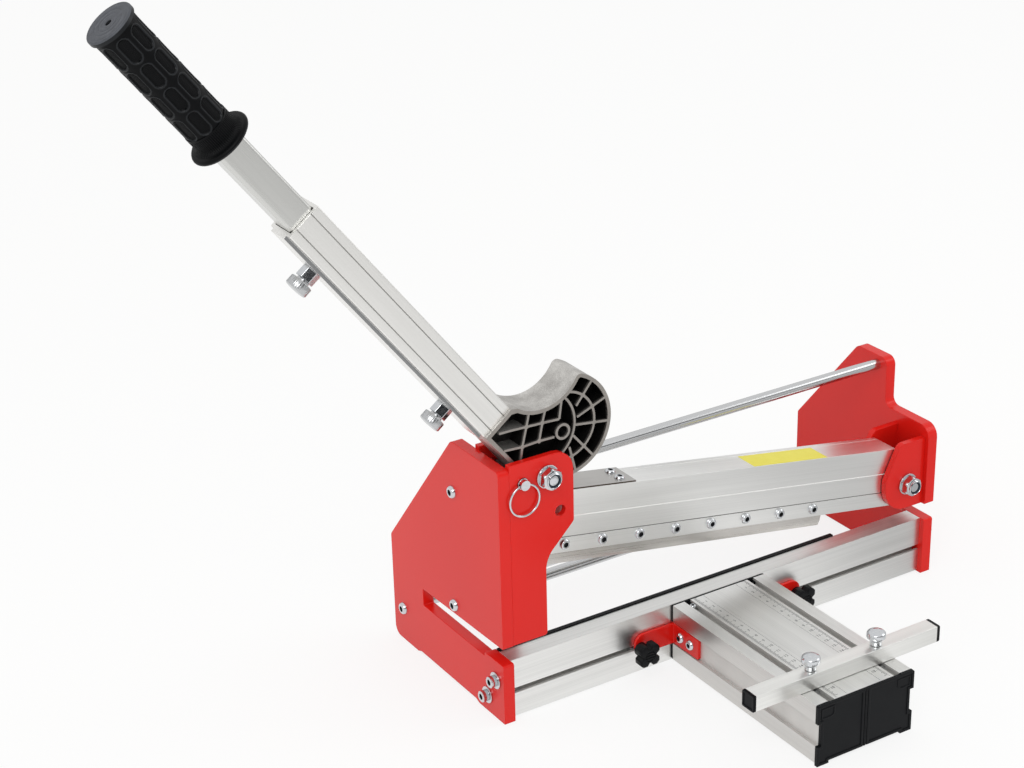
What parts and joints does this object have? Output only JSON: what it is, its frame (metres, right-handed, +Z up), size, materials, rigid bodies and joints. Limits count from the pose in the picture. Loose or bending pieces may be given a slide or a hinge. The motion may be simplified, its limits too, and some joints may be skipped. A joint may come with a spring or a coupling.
{
  "type": "laminate floor cutter",
  "caption": "Bench cutter for laminate boards: a cam lever presses a hinged blade beam onto a rail with a sliding measuring table and fence.",
  "frame": {"origin": "under the middle of the bounding box, on the surface that the cutter stands on", "axes": "+X along the base rail from the lever's end to the beam's hinge, +Y from the measuring table to the back, +Z up"},
  "size_m": [0.7724, 0.382, 0.653],
  "materials": {
    "red_paint": "glossy red paint on steel plate",
    "rail_aluminium": "anodised extrusion, satin, lengthwise grain",
    "bar_aluminium": "brushed extrusion, satin, lengthwise grain",
    "cast_aluminium": "sand-textured casting, tumbled",
    "black_plastic": "moulded, fine texture",
    "black_rubber": "moulded rubber, satin",
    "plated_steel": "bright zinc plating",
    "rod_steel": "drawn and plated round bar",
    "blade_steel": "ground steel",
    "dark_steel": "blackened steel",
    "bronze": "sintered bronze",
    "yellow_film": "printed film, left bare"
  },
  "bodies": {
    "base": {"base_rail": "rail_aluminium", "anvil_strip": "black_plastic", "left_end_plate": "red_paint", "right_end_plate": "red_paint", "front_cheek": "red_paint", "rear_cheek": "red_paint", "front_ear": "red_paint", "rear_ear": "red_paint", "upper_tie_rod": "rod_steel", "lower_tie_rod": "rod_steel", "rear_tie_rod": "rod_steel", "tie_rod_screws": "plated_steel", "rail_bolts": "plated_steel", "rail_washers": "plated_steel", "lever_pivot_bolt": "plated_steel", "lever_pivot_nut": "plated_steel", "lever_pivot_washers": "plated_steel", "beam_pivot_bolt": "plated_steel", "beam_pivot_nut": "plated_steel", "beam_pivot_washers": "plated_steel"},
    "beam": {"blade_beam": "bar_aluminium", "blade": "blade_steel", "blade_screws": "plated_steel", "wear_plate": "blade_steel", "wear_plate_screws": "plated_steel", "beam_bush": "bronze", "return_spring": "dark_steel", "beam_label": "yellow_film"},
    "lever": {"cam_casting": "cast_aluminium", "cam_bush": "bronze", "lever_sleeve": "bar_aluminium", "screw_bosses": "dark_steel"},
    "extension": {"inner_tube": "bar_aluminium", "hand_grip": "black_rubber"},
    "upper_clamp": {"upper_thumb_screw": "plated_steel"},
    "lower_clamp": {"lower_thumb_screw": "plated_steel"},
    "stop_pin": {"lock_pin": "plated_steel"},
    "ring": {"pin_ring": "plated_steel"},
    "table": {"table_extrusion": "bar_aluminium", "table_rear_cap": "black_plastic", "table_front_cap": "black_plastic", "left_bracket": "red_paint", "right_bracket": "red_paint", "bracket_screws": "plated_steel", "rail_t_bolts": "plated_steel"},
    "left_knob": {"left_star_knob": "black_plastic"},
    "right_knob": {"right_star_knob": "black_plastic"},
    "fence": {"fence_bar": "bar_aluminium", "fence_caps": "black_plastic", "fence_t_nuts": "plated_steel"},
    "left_fence_clamp": {"left_fence_screw": "plated_steel"},
    "right_fence_clamp": {"right_fence_screw": "plated_steel"}
  },
  "joints": [
    {"name": "lever_swing", "type": "hinge", "parent": "base", "child": "lever", "pos_m": [-0.04699, 0.02998, 0.22074], "axis": [0, 1, 0], "range_deg": [0, 126]},
    {"name": "beam_swing", "type": "hinge", "parent": "base", "child": "beam", "pos_m": [0.34831, 0.02998, 0.0987], "axis": [0, -1, 0], "range_deg": [0, 9.77]},
    {"name": "extension_slide", "type": "slide", "parent": "lever", "child": "extension", "axis": [-0.6139, 0, 0.7894], "range_m": [-0.075, 0.077]},
    {"name": "upper_clamp_turn", "type": "hinge", "parent": "lever", "child": "upper_clamp", "pos_m": [-0.21948, 0.02998, 0.44256], "axis": [-0.7894, 0, -0.6139], "range_deg": [-540, 0]},
    {"name": "lower_clamp_turn", "type": "hinge", "parent": "lever", "child": "lower_clamp", "pos_m": [-0.11175, 0.02998, 0.30402], "axis": [-0.7894, 0, -0.6139], "range_deg": [-540, 0]},
    {"name": "pin_pull", "type": "slide", "parent": "base", "child": "stop_pin", "axis": [0, -1, 0], "range_m": [0, 0.045]},
    {"name": "ring_swing", "type": "hinge", "parent": "stop_pin", "child": "ring", "pos_m": [-0.07018, 0.00137, 0.22043], "axis": [-1, 0, 0], "range_deg": [-2, 160]},
    {"name": "table_slide", "type": "slide", "parent": "base", "child": "table", "axis": [1, 0, 0], "range_m": [-0.115, 0.135]},
    {"name": "left_knob_turn", "type": "hinge", "parent": "table", "child": "left_knob", "pos_m": [0.04661, -0.00047, 0.0262], "axis": [0, -1, 0], "range_deg": [-540, 0]},
    {"name": "right_knob_turn", "type": "hinge", "parent": "table", "child": "right_knob", "pos_m": [0.21861, -0.00047, 0.0262], "axis": [0, -1, 0], "range_deg": [-540, 0]},
    {"name": "fence_slide", "type": "slide", "parent": "table", "child": "fence", "axis": [0, 1, 0], "range_m": [-0.018, 0.13]},
    {"name": "left_fence_clamp_turn", "type": "hinge", "parent": "fence", "child": "left_fence_clamp", "pos_m": [0.09811, -0.16032, 0.08], "axis": [0, 0, 1], "range_deg": [-540, 0]},
    {"name": "right_fence_clamp_turn", "type": "hinge", "parent": "fence", "child": "right_fence_clamp", "pos_m": [0.16711, -0.16032, 0.08], "axis": [0, 0, 1], "range_deg": [-540, 0]}
  ],
  "couplings": [
    {"joint": "beam_swing", "follows": "lever_swing", "ratio": 0.07753}
  ]
}
